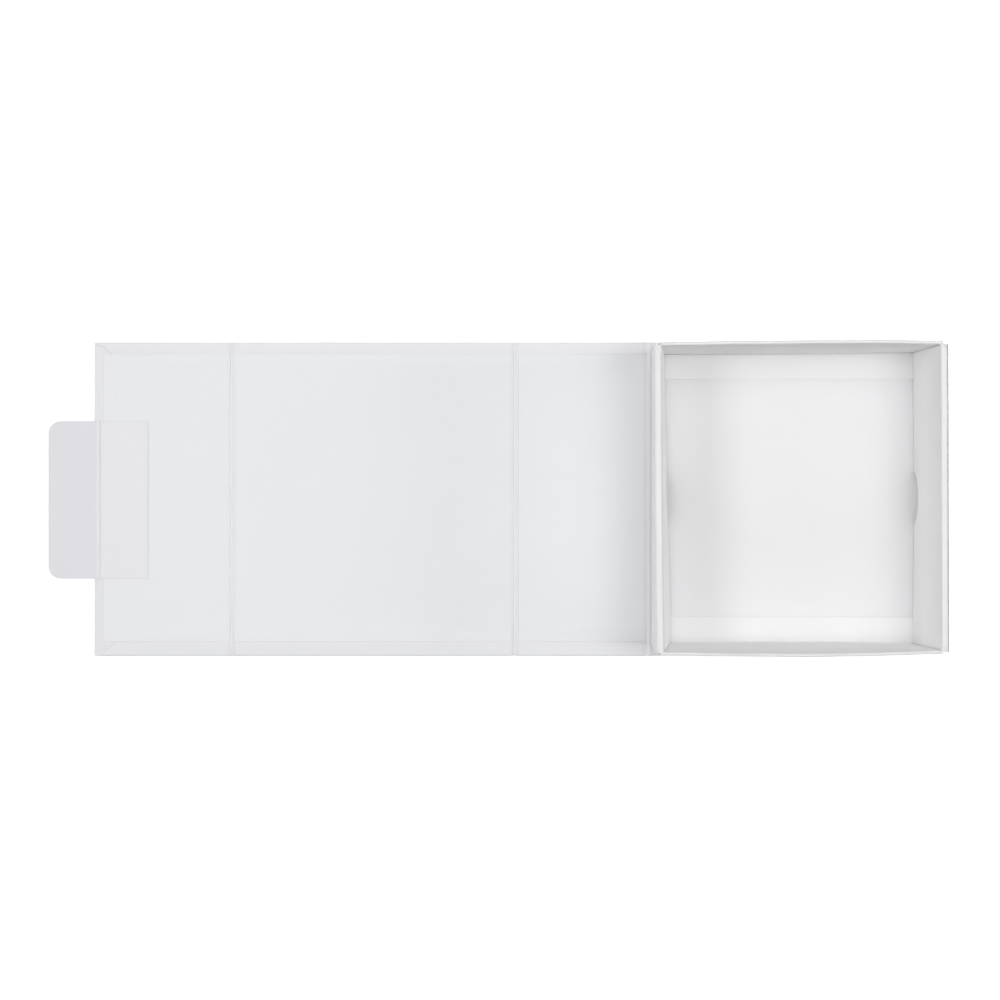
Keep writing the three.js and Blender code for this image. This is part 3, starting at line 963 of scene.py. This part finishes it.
def side_wall(
    name, place, body, node, rim_width, rounds, shade_and_wear, foot_drop, end_draws, bend_shares, seed
):
    """Outer panel, flat rim and the lip inside it. Drawn from the outer face at 0 inwards."""
    points = (
        (0, -WALL_HALF, -foot_drop),
        (0, -WALL_HALF, WALL_HEIGHT),
        (rim_width, -WALL_HALF, WALL_HEIGHT),
        (rim_width, -WALL_HALF, WALL_HEIGHT - RIM_LIP),
    )
    bm = swept_sheet(points, 1, WALL_HALF)
    facing(bm, (-1, 0, 0.2))
    outer = [e for e in folds(bm) if e.verts[0].co.x < ON_LINE]
    bevel(bm, outer, rounds[0], FOLD_SEGMENTS)
    inner = [e for e in folds(bm) if e.verts[0].co.x > rim_width - ON_LINE]
    bevel(bm, inner, rounds[1], FOLD_SEGMENTS)
    for side, draw in zip((1, -1), end_draws):
        cut(bm, (0, side * WALL_HALF, 0), (0, side * WALL_HEIGHT, draw), clear=True)
    loops_along(bm, 1, -WALL_HALF, WALL_HALF, WALL_STEP)
    loops_along(bm, 2, 0, WALL_HEIGHT - RIM_LIP, LOOP_STEP)
    bmesh.ops.transform(bm, matrix=place, verts=bm.verts[:])
    for v in bm.verts:
        rise = (v.co.z - TRAY_FOOT) / WALL_HEIGHT
        v.co.z -= rise ** 4 * (WAVE + wave(v.co.y, 0, seed + 0.5))
        v.co.x += rise * (bend(from_back(v.co.y), bend_shares) + wave(v.co.y, v.co.z, seed))
    cards = (tray_card, card_core)
    piece = make_piece(name, bm, cards, thickness=CARD_THICK, cut_edge=CUT_EDGE)
    outwards = place.to_3x3() @ Vector((-1, 0, 0))
    mark_rim_shade(piece, TRAY_FOOT + WALL_HEIGHT - RIM_LIP, outwards, shade_and_wear)
    place_piece(piece, body, node)


def notch_cutter(foot_z):
    """The round of a notch that opens downwards at foot_z."""
    chord = NOTCH_WIDTH / 2
    radius = (chord ** 2 + NOTCH_HEIGHT ** 2) / (2 * NOTCH_HEIGHT)
    bm = bmesh.new()
    bmesh.ops.create_cone(
        bm,
        cap_ends=True,
        segments=NOTCH_SEGMENTS,
        radius1=radius,
        radius2=radius,
        depth=4 * CARD_THICK,
    )
    across = Matrix.Rotation(math.pi / 2, 3, "Y")
    bmesh.ops.rotate(bm, cent=(0, 0, 0), matrix=across, verts=bm.verts[:])
    bmesh.ops.translate(bm, vec=(0, 0, foot_z + NOTCH_HEIGHT - radius), verts=bm.verts[:])
    return make_piece("notch", bm, ())


def inner_panel(
    name, inward, parent, node, foot_clear, slope, top_shares, foot_shares, spread_shares
):
    """Inner panel of a side wall with its half-moon notch, hanging from the crease under the rim.
    Drawn with its inner face at 0, the crease at height 0 and the hollow behind it, at -X.
    node is the name of the panel's body too, and parent, the wall's body, is not used."""
    (top_back, top_front), (foot_back, foot_front) = spread_shares
    node_lo, node_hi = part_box(node)
    half = (node_hi.y - node_lo.y) / 2
    hang = Vector(joints[f"{node}_swing"]["pos_m"])
    foot_z = high("back_floor_flange").z - FLANGE_SINK + foot_clear
    length = (hang.z - foot_z - math.sin(slope) * CARD_THICK) / math.cos(slope)
    bridge = WALL_HEIGHT - RIM_LIP - (hang.z - TRAY_FOOT)
    bm = bmesh.new()
    block(bm, -CARD_THICK, 0, -half, half, -length, bridge)
    loops_along(bm, 1, -half, half, WALL_STEP)
    for height in (0, -bridge):
        cross_cut(bm, 2, height)
    loops_along(bm, 2, -length, -bridge, LOOP_STEP)
    piece = make_piece(name, bm, (tray_card,))
    for v in piece.data.vertices:
        if v.co.z < -length + ON_LINE and abs(v.co.y) < half - FLANGE_WIDTH - WALL_STEP:
            v.co.z -= MIDDLE_FOOT_DROP
    carve(piece, notch_cutter(-length))
    eased_edges(piece, CUT_EDGE)
    turn = Matrix.Rotation(0 if inward > 0 else math.pi, 4, "Z") @ Matrix.Rotation(-slope, 4, "Y")
    piece.data.transform(Matrix.Translation(hang) @ turn)
    for v in piece.data.vertices:
        down = (hang.z - v.co.z) / length
        along = from_back(v.co.y)
        v.co.x += (1 - down) * bend(along, top_shares) + down * bend(along, foot_shares)
        back = top_back + down * (foot_back - top_back)
        front = top_front + down * (foot_front - top_front)
        v.co.y += CARD_THICK * ((1 - along) * back - along * front)
    join_piece(piece, (node,))


def end_wall(name, side, rim_shares, foot_shares, crease, seed):
    """A whole end of the tray in one sheet: outer panel, rolled rim, inner panel and flange.
    side is 1 at the back and -1 at the front. Drawn from the outer face inwards."""
    outer_lo, outer_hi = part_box(f"{name}_end_wall")
    inner_lo, inner_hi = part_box(f"{name}_inner_wall")
    flange_top = high(f"{name}_floor_flange").z - FLANGE_SINK
    y = outer_hi.y if side > 0 else outer_lo.y
    x0, x1 = outer_lo.x, outer_hi.x
    foot, top = outer_lo.z, outer_hi.z
    start = x0 - END_WALL_FLARE
    points = (
        (start, y, foot),
        (start, y, top),
        (start, y - side * END_WALL_THICK, top),
        (start, y - side * END_WALL_THICK, flange_top - crease),
        (start, y - side * (END_WALL_THICK + CREASE_WIDTH), flange_top),
        (start, y - side * (END_WALL_THICK + FLANGE_WIDTH), flange_top),
    )
    bm = swept_sheet(points, 0, x1)
    facing(bm, (0, side, 1))
    rolled = [e for e in folds(bm) if min(v.co.z for v in e.verts) > flange_top + END_WALL_THICK]
    bevel(bm, rolled, END_ROLL, FOLD_SEGMENTS)
    flare = Vector((-(top - foot), 0, -END_WALL_FLARE))
    cut(bm, (x0, 0, foot), flare, clear=True)
    for place in (inner_lo.x, inner_hi.x):
        cross_cut(bm, 0, place)
    cut(bm, (x0 + INNER_INSET, 0, foot), flare)
    spare = []
    for f in bm.faces:
        middle = f.calc_center_median()
        inside = side * (y - middle.y)
        on_floor = inside > END_WALL_THICK + CREASE_FLOOR_SHARE * CREASE_WIDTH
        flared = END_WALL_FLARE * (middle.z - foot) / (top - foot)
        left_end = inner_lo.x if on_floor else x0 + INNER_INSET - flared
        if inside > END_WALL_THICK - ON_LINE and not left_end < middle.x < inner_hi.x:
            spare.append(f)
    bmesh.ops.delete(bm, geom=spare, context="FACES")
    drop = TAPER_DROP_SHARE * WALL_HEIGHT
    cut(bm, (x1, 0, top - drop), (drop, 0, END_WALL_TAPER), clear=True)
    loops_along(bm, 0, x0, x1, WALL_STEP)
    loops_along(bm, 2, flange_top + END_WALL_THICK, top - END_WALL_THICK, LOOP_STEP)
    for v in bm.verts:
        rise = max(0, v.co.z - flange_top) / (top - flange_top)
        along = (v.co.x - x0) / (x1 - x0)
        rim_bend = rise * (bend(along, rim_shares) + wave(v.co.x, v.co.z, seed))
        on_flange = max(0, side * (y - v.co.y) - END_WALL_THICK) / FLANGE_WIDTH
        foot_bend = (1 - rise) * (1 - on_flange) * bend(along, foot_shares)
        v.co.z -= rise ** 4 * (WAVE + wave(v.co.x, 0, seed + 0.5))
        v.co.y += side * (rim_bend + foot_bend)
    cards = (tray_card, card_core)
    piece = make_piece(f"{name}_end", bm, cards, thickness=END_CARD_THICK, cut_edge=CUT_EDGE)
    mark_rim_shade(piece, top - END_WALL_THICK, (0, side, 0), END_RIM_SHADE_AND_WEAR)
    # Its left end is folded into the left wall
    nodes = (f"{name}_end_wall", f"{name}_inner_wall", f"{name}_floor_flange")
    start, end = (x0 + END_YIELD, 0, foot), (x0 + END_HOLD, 0, foot)
    join_piece(piece, nodes)


def make_tray():
    side_wall("left_side", LEFT_PLACE, "left_wall", "left_outer_wall", **LEFT_SIDE)
    side_wall("right_side", RIGHT_PLACE, "base", "right_outer_wall", **RIGHT_SIDE)
    left_lo, left_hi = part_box("left_inner_panel")
    hang = joints["left_inner_panel_swing"]["pos_m"]
    slope = math.atan2(left_hi.x - hang[0], hang[2] - left_lo.z)
    left_shares = (LEFT_RIM_SHARES, LEFT_FOOT_SHARES, LEFT_SPREAD_SHARES)
    left_lines = (LEFT_FOOT_CLEAR, slope, *left_shares)
    inner_panel("left_inner_side", 1, "left_wall", "left_inner_panel", *left_lines)
    right_shares = (RIGHT_CREASE_SHARES, RIGHT_FOOT_SHARES, RIGHT_SPREAD_SHARES)
    right_lines = (RIGHT_FOOT_CLEAR, 0, *right_shares)
    inner_panel("right_inner_side", -1, "base", "right_inner_panel", *right_lines)
    end_wall("back", 1, BACK_RIM_SHARES, BACK_FOOT_SHARES, BACK_CREASE_DEPTH, seed=3)
    end_wall("front", -1, FRONT_RIM_SHARES, FRONT_FOOT_SHARES, FRONT_CREASE_DEPTH, seed=4)
    softened_board("tray_floor", "tray_floor_card", "base", *FLOOR_STOCK)
    for side, body in (("left", "left_wall"), ("right", "base")):
        for end in ("back", "front"):
            node = f"{side}_{end}_dust_flap"
            softened_board(node, f"{node}_card", body, *CARD_STOCK)
    for where in ("middle", "back", "front"):
        node = f"tray_pad_{where}"
        softened_board(node, f"{node}_board", "base", *BOARD_STOCK)


# Stage: a white table, lamps and the camera. Lens and sensor are in millimetres
CAMERA_X = 7.6 * MM
CAMERA_Y = -0.6 * MM
CAMERA_Z = 1266 * MM
CAMERA_LENS = 71.3
CAMERA_SENSOR = 36
TABLE_SIZE = 6.0
TABLE_GAP = 0.3 * MM
TABLE_GREY = 0.8
TABLE_ROUGHNESS = 0.9
TABLE_GLOW = 0.45


def shown_as(tree, plain, shown, output):
    """The camera sees the shader shown, while light meets the shader plain."""
    path = tree.nodes.new("ShaderNodeLightPath")
    seen = tree.nodes.new("ShaderNodeMixShader")
    tree.links.new(path.outputs["Is Camera Ray"], seen.inputs["Fac"])
    tree.links.new(plain.outputs[0], seen.inputs[1])
    tree.links.new(shown.outputs[0], seen.inputs[2])
    tree.links.new(seen.outputs[0], tree.nodes[output].inputs["Surface"])


def make_table():
    bm = bmesh.new()
    bmesh.ops.create_grid(bm, x_segments=1, y_segments=1, size=TABLE_SIZE / 2)
    bmesh.ops.translate(bm, vec=(0, 0, -TABLE_GAP), verts=bm.verts[:])
    material = bpy.data.materials.new("table_white")
    material.use_nodes = True
    tree = material.node_tree
    shader = tree.nodes["Principled BSDF"]
    socket_value(shader, "Base Color", (TABLE_GREY, TABLE_GREY, TABLE_GREY, 1))
    socket_value(shader, "Roughness", TABLE_ROUGHNESS)
    glow = tree.nodes.new("ShaderNodeEmission")
    socket_value(glow, "Strength", TABLE_GLOW)
    both = tree.nodes.new("ShaderNodeAddShader")
    tree.links.new(shader.outputs[0], both.inputs[0])
    tree.links.new(glow.outputs[0], both.inputs[1])
    shown_as(tree, shader, both, "Material Output")
    make_piece("table", bm, (material,))


# Distances of the lamps in metres, and a lamp's width as a share of its distance
LAMP_NEAR = 1.5
LAMP_FAR = 4.5
LAMP_SIZE_SHARE = 0.2533


def make_lamp(name, tilt, azimuth, distance, level):
    """A square soft box, tilt from straight above, towards azimuth counted from +X.
    level is what it adds to a level sheet, where 1 shows a colour as it is written."""
    aside = math.sin(tilt)
    towards = Vector((aside * math.cos(azimuth), aside * math.sin(azimuth), math.cos(tilt)))
    lamp = bpy.data.lights.new(name, "AREA")
    lamp.shape = "SQUARE"
    lamp.size = LAMP_SIZE_SHARE * distance
    lamp.energy = level * math.pi ** 2 * distance ** 2 / math.cos(tilt)
    holder = bpy.data.objects.new(name, lamp)
    holder.location = towards * distance
    holder.rotation_mode = "QUATERNION"
    holder.rotation_quaternion = towards.to_track_quat("Z", "Y")
    bpy.context.scene.collection.objects.link(holder)


WORLD_LEVEL = 0.25
# Name, degrees from straight above, degrees from +X, distance, level
LAMPS = (
    ("key_right", 16, 0, LAMP_NEAR, 0.203),
    ("key_back", 16, 90, LAMP_NEAR, 0.113),
    ("key_low_right", 28, 0, LAMP_NEAR, 0.077),
    ("fill_left", 30, 180, LAMP_FAR, 0.202),
    ("fill_front", 48, 270, LAMP_FAR, 0.036),
    ("side_right", 65, 0, LAMP_FAR, 0.085),
    ("side_back", 65, 90, LAMP_FAR, 0.050),
    ("side_left", 65, 180, LAMP_FAR, 0.068),
)


def make_world():
    world = bpy.data.worlds.new("studio")
    bpy.context.scene.world = world
    world.use_nodes = True
    tree = world.node_tree
    plain = tree.nodes["Background"]
    socket_value(plain, "Color", (1, 1, 1, 1))
    socket_value(plain, "Strength", WORLD_LEVEL)
    white = tree.nodes.new("ShaderNodeBackground")
    socket_value(white, "Strength", 1.0)
    shown_as(tree, plain, white, "World Output")


def make_camera():
    camera = bpy.data.cameras.new("camera")
    camera.lens = CAMERA_LENS
    camera.sensor_width = CAMERA_SENSOR
    holder = bpy.data.objects.new("camera", camera)
    holder.location = (CAMERA_X, CAMERA_Y, CAMERA_Z)
    bpy.context.scene.collection.objects.link(holder)
    bpy.context.scene.camera = holder


make_camera()
make_world()
make_table()
for name, tilt, azimuth, distance, level in LAMPS:
    make_lamp(name, math.radians(tilt), math.radians(azimuth), distance, level)
make_cover()
make_tab()
make_tray()
bpy.context.scene.view_settings.view_transform = "Standard"
